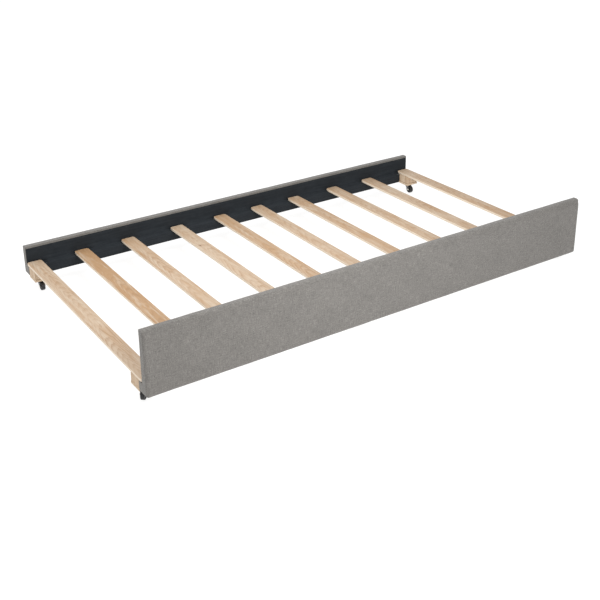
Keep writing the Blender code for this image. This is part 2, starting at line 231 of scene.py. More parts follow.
def finish(obj, body, material, replaced=(), smooth=40):
    letGo()
    obj.select_set(True)
    bpy.context.view_layer.objects.active = obj
    bpy.ops.object.shade_smooth_by_angle(angle=math.radians(smooth))
    if not obj.data.materials:
        obj.data.materials.append(material)
    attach(obj, body)
    if replaced:
        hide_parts(*replaced)
    return obj


def smoothStep(low, high, value):
    t = min(1, max(0, (value - low) / (high - low)))
    return t * t * (3 - 2 * t)


def boxUv(obj, layer, lay):
    # lay gives the two cloth or grain coordinates of a point, in metres, for a face's normal
    mesh = obj.data
    uv = mesh.uv_layers.new(name=layer)
    for face in mesh.polygons:
        for loop in face.loop_indices:
            point = mesh.vertices[mesh.loops[loop].vertex_index].co
            uv.data[loop].uv = lay(point, face.normal)


class Wire:
    # one output of a node; arithmetic on it adds Math nodes
    def __init__(self, look, socket):
        self.look = look
        self.socket = socket

    def math(self, operation, *values):
        return self.look.node("Math", {"operation": operation}, dict(enumerate((self, *values))))

    def __add__(self, other):
        return self.math("ADD", other)

    def __sub__(self, other):
        return self.math("SUBTRACT", other)

    def __mul__(self, other):
        return self.math("MULTIPLY", other)

    def __truediv__(self, other):
        return self.math("DIVIDE", other)

    def __rsub__(self, other):
        return self.look.node("Math", {"operation": "SUBTRACT"}, {0: other, 1: self})

    def __rtruediv__(self, other):
        return self.look.node("Math", {"operation": "DIVIDE"}, {0: other, 1: self})

    __radd__ = __add__
    __rmul__ = __mul__


class Look:
    # a material while its nodes are being laid
    def __init__(self, name, **fixed):
        self.material = bpy.data.materials.new(name)
        self.material.use_nodes = True
        self.tree = self.material.node_tree
        self.shader = self.tree.nodes["Principled BSDF"]
        for key, value in fixed.items():
            self.shader.inputs[spaced(key)].default_value = value

    def node(self, kind, settings=None, sockets=None, out=0):
        made = self.tree.nodes.new("ShaderNode" + kind)
        for key, value in (settings or {}).items():
            if key == "stops":
                laySteps(made.color_ramp, value)
            else:
                setattr(made, key, value)
        for key, value in (sockets or {}).items():
            self.feed(made.inputs[key], value)
        return Wire(self, made.outputs[out])

    def feed(self, socket, value):
        if isinstance(value, Wire):
            self.tree.links.new(value.socket, socket)
        elif socket.type == "RGBA" and len(value) == 3:
            socket.default_value = (*value, 1)
        else:
            socket.default_value = value

    def place(self):
        return self.node("TexCoord", out="Object")

    def cloth(self, layer):
        return self.node("UVMap", {"uv_map": layer})

    def parts(self, vector):
        return [self.node("SeparateXYZ", {}, {0: vector}, out=axis) for axis in "XYZ"]

    def stretch(self, vector, factors):
        return self.node("VectorMath", {"operation": "MULTIPLY"}, {0: vector, 1: factors})

    def shifted(self, vector, offset):
        return self.node("VectorMath", {"operation": "ADD"}, {0: vector, 1: offset})

    def grainOf(self, vector, scale=1.0, detail=3.0, rough=0.5, bend=0.0):
        sockets = {"Vector": vector, "Scale": scale, "Detail": detail, "Roughness": rough}
        return self.node("TexNoise", {}, {**sockets, "Distortion": bend})

    def ramp(self, value, stops):
        return self.node("ValToRGB", {"stops": stops}, {0: value})

    def span(self, value, low, high, toLow=0.0, toHigh=1.0):
        sockets = dict(enumerate((value, low, high, toLow, toHigh)))
        return self.node("MapRange", {"clamp": True}, sockets)

    def mix(self, factor, first, second, blend="MIX"):
        settings = {"data_type": "RGBA", "blend_type": blend}
        return self.node("Mix", settings, {0: factor, 6: first, 7: second}, out=2)

    def bump(self, height, strength, depth, under=None):
        sockets = {"Height": height, "Strength": strength, "Distance": depth}
        if under:
            sockets["Normal"] = under
        return self.node("Bump", {}, sockets)

    def paint(self, **sockets):
        for key, value in sockets.items():
            self.feed(self.shader.inputs[spaced(key)], value)
        return self.material


def spaced(key):
    # baseColor -> Base Color
    words = "".join(" " + c if c.isupper() else c for c in key).split()
    return " ".join("IOR" if w == "ior" else w.capitalize() for w in words)


def laySteps(ramp, stops):
    while len(ramp.elements) < len(stops):
        ramp.elements.new(0.5)
    for element, (position, colour) in zip(ramp.elements, stops):
        element.position = position
        element.color = (*colour, 1)


def tint(red, green, blue):
    # a paint chart's 0 to 255 as the shader's own light values
    def linear(value):
        value /= 255
        return value / 12.92 if value <= 0.04045 else ((value + 0.055) / 1.055) ** 2.4
    return tuple(linear(value) for value in (red, green, blue))


weave = {
    "thread": 0.00105,                # from one thread to the next
    "dark": tint(74, 73, 71),
    "mid": tint(114, 111, 107),
    "light": tint(152, 148, 143),
    "relief": 0.00035,
}


def greyWeave():
    look = Look("grey linen weave", roughness=0.93, sheenWeight=0.25, sheenRoughness=0.5)
    look.shader.inputs["Specular IOR Level"].default_value = 0.25
    cloth = look.cloth("weave")
    across, along, _ = look.parts(cloth)
    warp, weft = across / weave["thread"], along / weave["thread"]
    warpThread, weftThread = warp.math("FLOOR"), weft.math("FLOOR")
    over = (warpThread + weftThread).math("FLOORED_MODULO", 2.0)
    warpRound = (warp * math.pi).math("SINE").math("ABSOLUTE")
    weftRound = (weft * math.pi).math("SINE").math("ABSOLUTE")
    onTop = warpRound * (0.55 + 0.45 * weftRound)
    below = weftRound * (0.55 + 0.45 * warpRound)
    height = onTop * over + below * (1 - over)
    # every thread has its own grey, and changes it slowly along its length
    warpTone = look.grainOf(look.stretch(cloth, (1 / weave["thread"] / 2.3, 38, 1)), detail=2)
    weftTone = look.grainOf(look.stretch(cloth, (38, 1 / weave["thread"] / 2.3, 1)), detail=2)
    threadTone = warpTone * over + weftTone * (1 - over)
    streaks = look.grainOf(look.stretch(cloth, (150, 420, 1)), detail=3, rough=0.65)
    apart = look.shifted(cloth, (3.1, 1.7, 0))
    slubs = look.grainOf(look.stretch(apart, (440, 160, 1)), detail=3, rough=0.65)
    patches = look.grainOf(look.stretch(cloth, (9, 9, 1)), detail=3)
    melange = threadTone * 0.50 + streaks * 0.29 + slubs * 0.27 + patches * 0.08
    shade = look.ramp(melange, [(0.36, weave["dark"]), (0.56, weave["mid"]), (0.78, weave["light"])])
    # painted shade: the weave's hollows are darkened and the thread crowns lightened a little
    hollowShade = look.span(height, 0.05, 0.75, 0.80, 1.04)
    hollowShade = look.node("CombineXYZ", {}, {0: hollowShade, 1: hollowShade, 2: hollowShade})
    shade = look.mix(1.0, shade, hollowShade, "MULTIPLY")
    relief = height + 0.35 * slubs + 0.35 * streaks
    return look.paint(baseColor=shade, normal=look.bump(relief, 0.55, weave["relief"]))


dust = {
    # the streak tone: paler fibres and painted sheen
    "thin": tint(42, 46, 50),
    "thick": tint(32, 36, 40),
    "spot": 0.0016,                   # from one bonding point to the next
}


def blackCloth():
    look = Look("black non-woven", roughness=0.9)
    look.shader.inputs["Specular IOR Level"].default_value = 0.18
    cloth = look.cloth("weave")
    across, along, _ = look.parts(cloth)
    dots = ((across / dust["spot"] * math.tau).math("SINE") * (along / dust["spot"] * math.tau).math("SINE"))
    fibres = look.grainOf(look.stretch(cloth, (260, 900, 1)), detail=4, rough=0.65, bend=1.2)
    streaks = look.grainOf(look.stretch(cloth, (9, 150, 1)), detail=3)
    mottle = look.grainOf(look.stretch(cloth, (26, 34, 1)), detail=3)
    # painted sheen: the lighter streaks along the rail are partly paler fibres and partly painted sheen
    blend = streaks * 0.55 + mottle * 0.35 + fibres * 0.25
    shade = look.ramp(blend, [(0.42, dust["thick"]), (0.72, dust["thin"])])
    rough = look.span(fibres, 0.3, 0.7, 0.80, 0.95)
    height = fibres * 0.7 - look.span(dots, 0.55, 0.8) * 0.5
    return look.paint(baseColor=shade, roughness=rough, normal=look.bump(height, 0.5, 0.0002))


timber = {
    "cream": tint(206, 187, 164),
    "straw": tint(196, 171, 144),
    "honey": tint(182, 146, 108),
    "tan": tint(155, 118, 83),
    "knot": tint(92, 62, 40),
    "sapwood": tint(214, 200, 180),
    "rings": 21,                      # growth lines in each metre of the slat
    "arch": 165,                      # how steeply the lines bend away from the middle
}


def slatFace():
    look = Look("slat veneer", roughness=0.55)
    grain = look.cloth("grain")
    tone = look.node("Attribute", {"attribute_name": "tone"}, out="Fac")
    across, along, _ = look.parts(grain)
    wander = look.grainOf(look.stretch(grain, (12, 2.2, 1)), detail=4) - 0.5
    ripple = look.grainOf(look.stretch(grain, (70, 9, 1)), detail=4) - 0.5
    drift = look.grainOf(look.stretch(grain, (0, 1.3, 1)), detail=1) - 0.5
    offset = across + 0.05 * drift + 0.035 * wander
    arches = along + timber["arch"] * offset * offset + 0.30 * wander + 0.06 * ripple
    ring = (arches * timber["rings"]).math("FRACT")
    late = look.span(ring, 0.45, 0.97) * look.span(ring, 1.0, 0.97)
    fibre = look.grainOf(look.stretch(grain, (1100, 16, 1)), detail=3, rough=0.6)
    broad = look.grainOf(look.stretch(grain, (46, 3.4, 1)), detail=4, rough=0.6)
    cloud = look.grainOf(look.stretch(grain, (20, 9, 1)), detail=3)
    base = look.ramp(
        broad * 0.62 + cloud * 0.34 + tone * 0.36,
        [(0.42, timber["cream"]), (0.60, timber["straw"]), (0.80, timber["honey"])],
    )
    figure = look.span(look.grainOf(look.stretch(grain, (8, 3, 1)), detail=2), 0.35, 0.65, 0.15, 0.9)
    base = look.mix(late * figure * 0.8, base, timber["tan"])
    # pale streaks, then darker threads of pores, both broken along the grain
    streaks = look.grainOf(
        look.stretch(look.shifted(grain, (9.1, 2.0, 0)), (62, 6, 1)), detail=4, rough=0.65, bend=0.7
    )
    base = look.mix(look.span(streaks, 0.50, 0.70, 0, 0.6), base, timber["sapwood"])
    pores = look.grainOf(look.stretch(look.shifted(grain, (4.3, 0, 0)), (210, 5.5, 1)), detail=4, rough=0.7)
    base = look.mix(look.span(pores, 0.52, 0.74, 0, 0.5), base, timber["tan"])
    base = look.mix(look.span(fibre, 0.46, 0.8, 0, 0.34), base, timber["tan"])
    # one pin knot, on the fourth slat
    low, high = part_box("slat_04")
    centre = ((low.x + high.x) / 2 - 0.0135, high.y - 0.24, high.z)
    away = look.shifted(look.place(), tuple(-c for c in centre))
    away = look.stretch(away, (1.0, 0.62, 0))
    away = look.node("VectorMath", {"operation": "LENGTH"}, {0: away}, out="Value")
    halo = look.span(away, 0.002, 0.010, 0.55, 0.0)
    heart = look.span(away, 0.0016, 0.0034, 1.0, 0.0)
    base = look.mix(halo, base, timber["tan"])
    base = look.mix(heart, base, timber["knot"])
    rough = look.span(fibre, 0.3, 0.7, 0.46, 0.62)
    return look.paint(baseColor=base, roughness=rough, normal=look.bump(fibre + 0.6 * late, 0.25, 0.00025))


def slatSideAndLight():
    # the sawn side of glued layers; its pale tone is partly the wood's own and partly painted light, as if lit
    # from the side
    look = Look("slat side", roughness=0.65)
    low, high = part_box("slat_01")
    layers = (look.parts(look.place())[2] - low.z) / (high.z - low.z) * 5
    wobble = look.grainOf(look.stretch(look.place(), (30, 3, 0)), detail=2) - 0.5
    layers = layers + 0.25 * wobble
    glue = look.span((layers.math("FRACT") - 0.5).math("ABSOLUTE"), 0.40, 0.49)
    stripe = layers.math("FLOOR").math("FLOORED_MODULO", 2.0)
    fibre = look.grainOf(look.stretch(look.place(), (700, 22, 700)), detail=3)
    # painted light: the pale tints stand partly for light falling on the slat sides
    base = look.mix(stripe * 0.35, tint(226, 212, 193), tint(205, 182, 156))
    base = look.mix(look.span(fibre, 0.45, 0.8, 0, 0.4), base, timber["straw"])
    base = look.mix(glue * 0.35, base, tint(150, 116, 84))
    return look.paint(baseColor=base, normal=look.bump(fibre, 0.25, 0.0002))


def solidWood(name, pale, dark, axis, scale=1.0):
    # plain sawn timber whose grain runs along one axis
    look = Look(name, roughness=0.66)
    squeeze = [34 * scale] * 3
    squeeze[axis] = 3.2 * scale
    fine = [520.0] * 3
    fine[axis] = 26.0
    place = look.place()
    rings = look.grainOf(look.stretch(place, tuple(squeeze)), detail=2, bend=0.6)
    lines = (rings * 11).math("FRACT")
    late = look.span(lines, 0.5, 0.95) * look.span(lines, 1.0, 0.95)
    fibre = look.grainOf(look.stretch(place, tuple(fine)), detail=3)
    base = look.mix(look.span(rings, 0.3, 0.7), pale, dark)
    base = look.mix(late * 0.45, base, tuple(c * 0.72 for c in dark))
    base = look.mix(look.span(fibre, 0.5, 0.85, 0, 0.35), base, dark)
    return look.paint(baseColor=base, normal=look.bump(fibre + late, 0.3, 0.0003))


def plyLayers():
    look = Look("plywood", roughness=0.7)
    low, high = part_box("front_left_plywood_pad")
    height = look.parts(look.place())[2]
    wobble = look.grainOf(look.stretch(look.place(), (40, 40, 0)), detail=2) - 0.5
    layer = (height - low.z) / (high.z - low.z) * 6.98 + 0.3 * wobble
    stripe = layer.math("FLOOR").math("FLOORED_MODULO", 2.0)
    fibre = look.grainOf(look.stretch(look.place(), (60, 420, 420)), detail=4)
    cross = look.grainOf(look.stretch(look.place(), (420, 60, 420)), detail=4)
    streak = fibre * stripe + cross * (1 - stripe)
    base = look.mix(stripe, tint(216, 200, 176), tint(184, 157, 127))
    base = look.mix(look.span(streak, 0.42, 0.75, 0, 0.5), base, tint(152, 117, 84))
    return look.paint(baseColor=base, normal=look.bump(streak, 0.35, 0.0003))


def blackSteel():
    look = Look("black lacquered steel", coatWeight=0.5, coatRoughness=0.12, metallic=0.0)
    place = look.place()
    peel = look.grainOf(place, 900, detail=2)
    cloud = look.grainOf(place, 60, detail=3)
    base = look.mix(look.span(cloud, 0.3, 0.7), tint(17, 18, 19), tint(27, 28, 30))
    rough = look.span(cloud, 0.3, 0.7, 0.22, 0.36)
    return look.paint(baseColor=base, roughness=rough, normal=look.bump(peel, 0.12, 0.00015))


def wheelNylon():
    look = Look("black wheel nylon")
    place = look.place()
    speck = look.grainOf(place, 1500, detail=2)
    scuff = look.grainOf(place, 140, detail=4, rough=0.65)
    base = look.mix(look.span(scuff, 0.55, 0.8), tint(20, 20, 21), tint(44, 44, 45))
    rough = look.span(scuff, 0.35, 0.7, 0.38, 0.58)
    return look.paint(baseColor=base, roughness=rough, normal=look.bump(speck, 0.2, 0.0001))


def zincPlate():
    look = Look("zinc plated steel", metallic=1.0)
    place = look.place()
    bloom = look.grainOf(place, 260, detail=3)
    base = look.mix(look.span(bloom, 0.3, 0.7), tint(196, 194, 186), tint(219, 215, 202))
    rough = look.span(bloom, 0.3, 0.7, 0.26, 0.42)
    return look.paint(baseColor=base, roughness=rough, normal=look.bump(bloom, 0.15, 0.0001))


finishes = {
    "cloth": greyWeave(),
    "dust": blackCloth(),
    "slatFace": slatFace(),
    "slatSideAndLight": slatSideAndLight(),
    "block": solidWood("corner block timber", tint(206, 185, 160), tint(180, 152, 122), axis=2),
    "ply": plyLayers(),
    "steel": blackSteel(),
    "nylon": wheelNylon(),
    "zinc": zincPlate(),
}
print("finishes are mixed:", len(finishes))


# padded cloth on the two rails
padding = {
    "skin": 0.0015,                   # cloth and gap outside the board
    "face": 0.0016,                   # how far the face starts inside its true size, for the slack
    "edge": 0.0007,                   # the same at the top and the ends
    "footGap": 0.0004,
    "rounding": 0.0085,
    "crispEdge": 0.0022,              # where the cloth turns straight over the board
    "roll": {"front": (0.016, 0.026), "rear": (0.009, 0.012)},    # the soft turn-over: inwards, down
    "grid": (0.010, 0.004, 0.0075),   # spacing of the points along X, Y and Z
    "ripple": 0.0007,                 # slack over the face
    "rippleWaves": (7, 11),           # its waves along X and Z, in each metre
    "pull": 0.0007,                   # dips above the staples of the foot
    "pullWaves": (42, 5),
    "pullReach": 0.045,
    "ridge": 0.0005,                  # unevenness along the top
    "ridgeWaves": 16,
    "pleat": 0.0006,                  # step of the folded corner at each end
    "pleatStart": 0.011,
    "pleatLean": 0.10,                # how far the fold leans inwards for each metre down
    "pleatHalf": 0.0014,
}


def dressRail(sideName):
    side = sides[sideName]
    low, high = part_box(f"{sideName}_rail_cover")
    ledgerLow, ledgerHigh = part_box(f"{sideName}_ledger")
    boardLow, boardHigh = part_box(f"{sideName}_rail_board")
    outer = low.y if side < 0 else high.y
    inner = (boardHigh.y if side < 0 else boardLow.y) - side * padding["skin"]
    ledgerInner = (ledgerHigh.y if side < 0 else ledgerLow.y) - side * hair
    ledgerTop = ledgerHigh.z + hair
    foot, top, end = low.z, high.z, high.x
    face, edge = padding["face"], padding["edge"]

    rail = addBox(
        f"{sideName}_rail_upholstery",
        (-end + edge, outer - side * face, foot + padding["footGap"]),
        (end - edge, inner, top - edge),
    )
    shape(rail)
    bpy.ops.mesh.select_all(action="SELECT")
    bpy.ops.mesh.bisect(plane_co=(0, 0, ledgerTop), plane_no=(0, 0, 1))
    pick("faces", lambda f: f.normal.y * side < -0.9 and f.calc_center_median().z < ledgerTop)
    bpy.ops.mesh.extrude_region_move(TRANSFORM_OT_translate={"value": (0, ledgerInner - inner, 0)})
    outerNow = outer - side * face
    atFoot = foot + padding["footGap"] + hair

    def isTopFront(e):
        at = middle(e)
        return abs(at.y - outerNow) < touch and top - edge - at.z < hair and runsAlong(e, 0)

    def isTurn(e):
        at = middle(e)
        if isTopFront(e):
            return False
        if abs(at.y - outerNow) < touch:
            return all(abs(v.co.y - outerNow) < touch for v in e.verts) and isSharp(e)
        atEnd = abs(abs(at.x) - end + edge) < touch
        return atEnd and at.z < atFoot and runsAlong(e, 1)

    roundEdges(isTurn, padding["rounding"], 4)
    roundEdges(
        lambda e: isSharp(e, 60) and e.calc_length() > 0.006 and not isTopFront(e), padding["crispEdge"], 2
    )
    letGo()
    gridCut(rail)
    deep, tall = padding["roll"][sideName]
    for vert in rail.data.vertices:   # the square corner along the top front becomes a quarter oval
        out = 1 - (outerNow - vert.co.y) * side / deep
        up = 1 - (top - edge - vert.co.z) / tall
        if out > 0 and up > 0:
            shrink = max(out, up) / math.hypot(out, up)
            vert.co.y = outerNow - side * deep * (1 - out * shrink)
            vert.co.z = top - edge - tall * (1 - up * shrink)
    modify(rail, "SUBSURF", levels=1, render_levels=1)
    settleCloth(rail, side, outer, inner, ledgerInner, ledgerTop, foot, top, end)
    boxUv(rail, "weave", clothLay)
    wrapped = ["rail_cover", "rail_foam", "rail_board", "ledger"]
    finish(rail, "bed_frame", finishes["cloth"],
           [f"{sideName}_{part}" for part in wrapped], smooth=60)
    print(f"  {rail.name}: {len(rail.data.polygons)} faces")


def gridCut(obj):
    # an even grid of points over the whole form, for the cloth to bend at
    parts = bmesh.new()
    parts.from_mesh(obj.data)
    for axis, spacing in enumerate(padding["grid"]):
        low = min(v.co[axis] for v in parts.verts)
        high = max(v.co[axis] for v in parts.verts)
        count = round((high - low) / spacing)
        way = Vector([1.0 if axis == n else 0.0 for n in range(3)])
        for number in range(1, count):
            at = way * (low + (high - low) * number / count)
            everything = parts.verts[:] + parts.edges[:] + parts.faces[:]
            bmesh.ops.bisect_plane(parts, geom=everything, dist=0.0004, plane_co=at, plane_no=way)
    parts.to_mesh(obj.data)
    parts.free()


def clothLay(point, normal):
    bends = [abs(c) for c in normal]
    if bends[0] > max(bends[1], bends[2]):
        return point.y, point.z
    if bends[1] > bends[2]:
        return point.x, point.z
    return point.x, point.y


def settleCloth(rail, side, outer, inner, ledgerInner, ledgerTop, foot, top, end):
    # slack, pulls at the stapled foot and the folded corners; then kept off its neighbours
    rippleX, rippleZ = padding["rippleWaves"]
    pullX, pullZ = padding["pullWaves"]
    half = padding["pleatHalf"]
    for vert in rail.data.vertices:
        co = vert.co
        inward = (outer - co.y) * side
        onFace = smoothStep(0.012, 0.004, inward)
        slack = noise.noise(Vector((co.x * rippleX, co.z * rippleZ, side * 3.0)))
        co.y += side * padding["ripple"] * slack * onFace
        lower = smoothStep(padding["pullReach"], 0.0, co.z - foot)
        pull = noise.noise(Vector((co.x * pullX, co.z * pullZ, side * 8.0)))
        co.y -= side * padding["pull"] * max(0, pull) * lower * onFace
        nearTop = smoothStep(0.012, 0.0, top - co.z)
        ridge = noise.noise(Vector((co.x * padding["ridgeWaves"], side * 2.0, 0.5)))
        co.z += padding["ridge"] * ridge * nearTop
        atEnd = smoothStep(0.006, 0.001, end - abs(co.x))
        fold = padding["pleatStart"] + padding["pleatLean"] * max(0, top - 0.004 - co.z)
        tucked = smoothStep(fold - half, fold + half, inward) * smoothStep(0.10, 0.05, top - co.z)
        co.x -= math.copysign(padding["pleat"] * tucked * atEnd, co.x)
        # limits
        co.x = max(-end, min(end, co.x))
        co.z = max(foot + hair, min(top, co.z))
        inward = (outer - co.y) * side
        most = (outer - (ledgerInner if co.z < ledgerTop + 0.0006 else inner)) * side
        inward = max(0.0, min(most, inward))
        if inward > (outer - inner) * side + 0.0002:
            co.z = min(co.z, ledgerTop)
        co.y = outer - side * inward


print("rails: cloth over foam")
for sideName in sides:
    dressRail(sideName)


# black cloth on the inner faces
drape = {
    "thickness": 0.0005,
    "innerTurn": 0.007,               # how loosely it turns into the corner over the ledger
    "outerTurn": 0.0028,
    "cornerSlack": 0.0085,            # how far it bridges the corner between two slats
    "cornerReach": 0.024,
    "slatReach": 0.03,                # how far beside a slat it is still held down
    "stepAlong": 0.005,
    "stepAcross": 0.0022,
    "wallSlack": 0.0013,
    "topSlack": 0.0021,
    "dropSlack": 0.0030,
    "crease": 0.0007,
    "swagWaves": (9, 12),             # waves in each metre, along the rail and across the cloth
    "streakWaves": (5, 95),
    "foldWaves": (11, 60),
}


def turnedRoute(points, turns):
    # a line of (inward, height) points with its two corners rounded, as closely set points
    route = [Vector(points[0])]
    for number, radius in enumerate(turns, start=1):
        before, corner, after = (Vector(p) for p in points[number - 1:number + 2])
        start = corner + (before - corner).normalized() * radius
        stop = corner + (after - corner).normalized() * radius
        for step in range(9):
            t = step / 8
            route.append(start * (1 - t) ** 2 + corner * 2 * t * (1 - t) + stop * t * t)
    route.append(Vector(points[-1]))
    return route


def walkRoute(route, distance):
    # the point and the direction at a distance along the route
    for start, stop in zip(route, route[1:]):
        length = (stop - start).length
        if distance <= length or stop is route[-1]:
            way = (stop - start).normalized()
            return start + way * min(distance, length), way
        distance -= length


slatSpans = [(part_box(name)[0].x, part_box(name)[1].x) for name in sorted(nodes) if name.startswith("slat_")]


def underSlat(x, margin=0.006):
    # 1 under a slat, 0 clear of all of them
    return max(
        smoothStep(low - margin, low, x) * smoothStep(high + margin, high, x) for low, high in slatSpans
    )


def hangDustCloth(sideName):
    side = sides[sideName]
    low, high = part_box(f"{sideName}_rail_dust_cloth")
    ledgerLow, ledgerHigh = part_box(f"{sideName}_ledger")
    blockLow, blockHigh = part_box(f"{sideName}_left_corner_block")
    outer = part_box(f"{sideName}_rail_cover")[0 if side < 0 else 1].y
    near = abs(outer - (low.y if side < 0 else high.y))       # inward distance of the wall
    far = abs(outer - (ledgerHigh.y if side < 0 else ledgerLow.y)) + 0.0003
    over = ledgerHigh.z + 0.0003
    route = turnedRoute(
        [(near, high.z), (near, over), (far, over), (far, low.z)],
        [drape["innerTurn"], drape["outerTurn"]],
    )
    girth = sum((b - a).length for a, b in zip(route, route[1:]))
    length = high.x - low.x
    blockSpan = blockHigh.x - blockLow.x + 0.008
    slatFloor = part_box("slat_01")[0].z
    swagX, swagY = drape["swagWaves"]
    streakX, streakY = drape["streakWaves"]
    foldX, foldY = drape["foldWaves"]

    letGo()
    columns, rows = round(length / drape["stepAlong"]), round(girth / drape["stepAcross"])
    bpy.ops.mesh.primitive_grid_add(x_subdivisions=columns, y_subdivisions=rows, size=1)
    cloth = keepAs(f"{sideName}_dust_cloth")
    layer = cloth.data.uv_layers[0]
    layer.name = "weave"
    for loop, cell in zip(cloth.data.loops, layer.data):
        at = cloth.data.vertices[loop.vertex_index].co
        cell.uv = (at.x * length, at.y * girth)
    topEnd, dropStart = high.z - over, girth - (over - low.z)
    for vert in cloth.data.vertices:
        x = vert.co.x * length
        distance = (vert.co.y + 0.5) * girth
        point, way = walkRoute(route, distance)
        outwards = Vector((-way.y, way.x))                    # to the room side of the cloth
        held = underSlat(x)
        free = smoothStep(0, 0.012, distance) * smoothStep(0, 0.006, girth - distance)
        wall = smoothStep(topEnd + 0.004, topEnd - 0.008, distance)
        drop = smoothStep(dropStart - 0.004, dropStart + 0.008, distance)
        ledge = (1 - wall) * (1 - drop)
        pinch = noise.noise(Vector((x * 5, side * 4.0, 0)))
        swag = 0.5 + 0.5 * noise.noise(Vector((x * swagX, distance * swagY, side * 6.0)))
        streak = noise.noise(
            Vector((x * streakX + 3 * pinch, distance * streakY + 2.4 * pinch, side * 5.0))
        )
        fold = 1 - 2.4 * abs(noise.noise(Vector((x * foldX, distance * foldY + 1.6 * pinch, side * 9.0))))
        slack = drape["wallSlack"] * wall * swag
        slack += drape["topSlack"] * ledge * swag * (1 - held)
        hem = smoothStep(0.038, 0.010, distance - dropStart)
        slack += drape["dropSlack"] * drop * swag * (1 - 0.45 * held) * hem
        clear = 1 - underSlat(x, drape["slatReach"])
        bridge = smoothStep(drape["cornerReach"], 0.0, abs(distance - topEnd)) * clear
        slack += drape["cornerSlack"] * bridge * (0.7 + 0.3 * swag)
        calm = (1 - 0.5 * held) * (1 - 0.8 * smoothStep(topEnd - 0.010, topEnd - 0.040, distance))
        lift = slack + drape["crease"] * (0.6 * streak + 0.6 * max(0, fold)) * calm
        lift = max(0.0, lift) * free
        byBlock = smoothStep(blockSpan + 0.012, blockSpan, length / 2 - abs(x))
        lift *= 1 - byBlock * (1 - wall)
        if held > 0:
            lift *= 1 - held * ledge
        place = point + outwards * lift
        if held > 0.01 and place.x > near + 0.004:
            place.y = min(place.y, slatFloor - 0.0004 - drape["thickness"])
        vert.co = (x, outer - side * place.x, place.y)
    normalsOut(cloth, Vector((0, -side, 1)))
    modify(cloth, "SOLIDIFY", thickness=drape["thickness"], offset=1)
    finish(cloth, "bed_frame", finishes["dust"], [f"{sideName}_rail_dust_cloth"], smooth=70)
    print(f"  {cloth.name}: cut {girth * 1000:.0f} x {length * 1000:.0f} mm")


def normalsOut(obj, way):
    total = sum((face.normal * face.area for face in obj.data.polygons), Vector())
    if total.dot(way) < 0:
        obj.data.flip_normals()


print("dust cloths")
for sideName in sides:
    hangDustCloth(sideName)


slatSet = {
    "corner": 0.009,
    "ease": 0.0011,
    # how brown each slat is, and where its figure starts along the log
    "tones": (0.30, 0.98, 0.42, 0.20, 0.60, 0.36, 0.56, 0.44, 0.36, 0.46),
    "starts": (0.13, 2.47, 5.02, 7.31, 9.64, 12.1, 14.55, 17.2, 19.8, 22.3),
}


def planSlat():
    low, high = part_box("slat_01")
    slat = addBox("slat pattern", low, high)
    shape(slat)
    roundEdges(lambda e: runsAlong(e, 2), slatSet["corner"], 6)
    roundEdges(lambda e: isSharp(e, 60) and not runsAlong(e, 2), slatSet["ease"], 3)
    letGo()
    return slat


def laySlats():
    pattern = planSlat()
    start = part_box("slat_01")[0].x
    for number in range(len(slatSet["tones"])):
        node = f"slat_{number + 1:02d}"
        low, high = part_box(node)
        centre = (low.x + high.x) / 2
        slat = copyOf(pattern, f"bed_slat_{number + 1:02d}", (low.x - start, 0, 0))
        begin = slatSet["starts"][number]

        def lay(point, normal):
            if abs(normal.x) > 0.6:
                return point.z, point.y + begin
            return point.x - centre, point.y + begin

        boxUv(slat, "grain", lay)
        tone = slat.data.attributes.new("tone", "FLOAT", "POINT")
        tone.data.foreach_set("value", [slatSet["tones"][number]] * len(slat.data.vertices))
        slat.data.materials.append(finishes["slatFace"])
        slat.data.materials.append(finishes["slatSideAndLight"])
        for face in slat.data.polygons:
            face.material_index = 0 if abs(face.normal.z) > 0.4 else 1
        finish(slat, "bed_frame", None, [node], smooth=40)
    bpy.data.objects.remove(pattern)


laySlats()
print("slats are laid:", len(slatSet["tones"]))


# timber that the frame already holds
def finishNode(name, material):
    for slot in nodes[name].material_slots:
        slot.material = material


for corner in corners:
    finishNode(f"{corner}_corner_block", finishes["block"])
    finishNode(f"{corner}_plywood_pad", finishes["ply"])
print("blocks and pads are finished")


# casters, modelled once under the origin and copied to the corners
caster = {
    "plateCorner": 0.005,
    "screwPitch": 0.0132,
    "plateEase": 0.0004,
    "screwHead": 0.0031,
    "screwHeight": 0.0016,
    "crownDepth": 0.0034,
    "boss": 0.0062,
    "sheet": 0.0016,
    "bend": 0.0013,
    "ribInset": 0.0018,
    "ribDepth": 0.0004,
    "ribSlope": 0.0007,
    "shoulder": 0.0024,
    "tyreFlat": 0.0020,
    "recess": 0.0020,
    "hub": 0.0058,
    "hubRise": 0.0006,
    "hubLip": 0.0004,
    "lip": 0.0005,                    # slope from the tyre down to the web
    "bore": 0.0027,
    "slotEase": 0.0009,
    "raceGroove": 0.0009,
    "raceEase": 0.0005,
    "kingpin": 0.003,
    "kingpinHole": 0.0035,
    "rivet": 0.0018,                  # height of the kingpin's head
    "rivetEase": 0.0012,
    "axle": 0.0023,
    "axleHole": 0.0026,
    "axleHead": 0.0013,
    "axleEase": 0.0009,
    "partingLine": 0.0006,            # half its width
}


def casterSizes():
    # measured on the rear right caster, which isn't turned, from the axis that it swivels on
    low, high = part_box("rear_right_caster_plate")
    axis = (low + high) / 2
    sizes = {"axis": axis, "plate": (low, high)}
    for part in ("race", "fork", "kingpin", "axle", "wheel"):
        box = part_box(f"rear_right_caster_{part}")
        sizes[part] = tuple(corner - Vector((axis.x, axis.y, 0)) for corner in box)
    sizes["plate"] = tuple(corner - Vector((axis.x, axis.y, 0)) for corner in sizes["plate"])
    return sizes


def swivelOf(corner):
    # how far the caster is turned from trailing straight to -Y
    trail = sum(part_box(f"{corner}_caster_wheel"), Vector()) - sum(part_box(f"{corner}_caster_plate"), Vector())
    return math.atan2(trail.x, -trail.y)


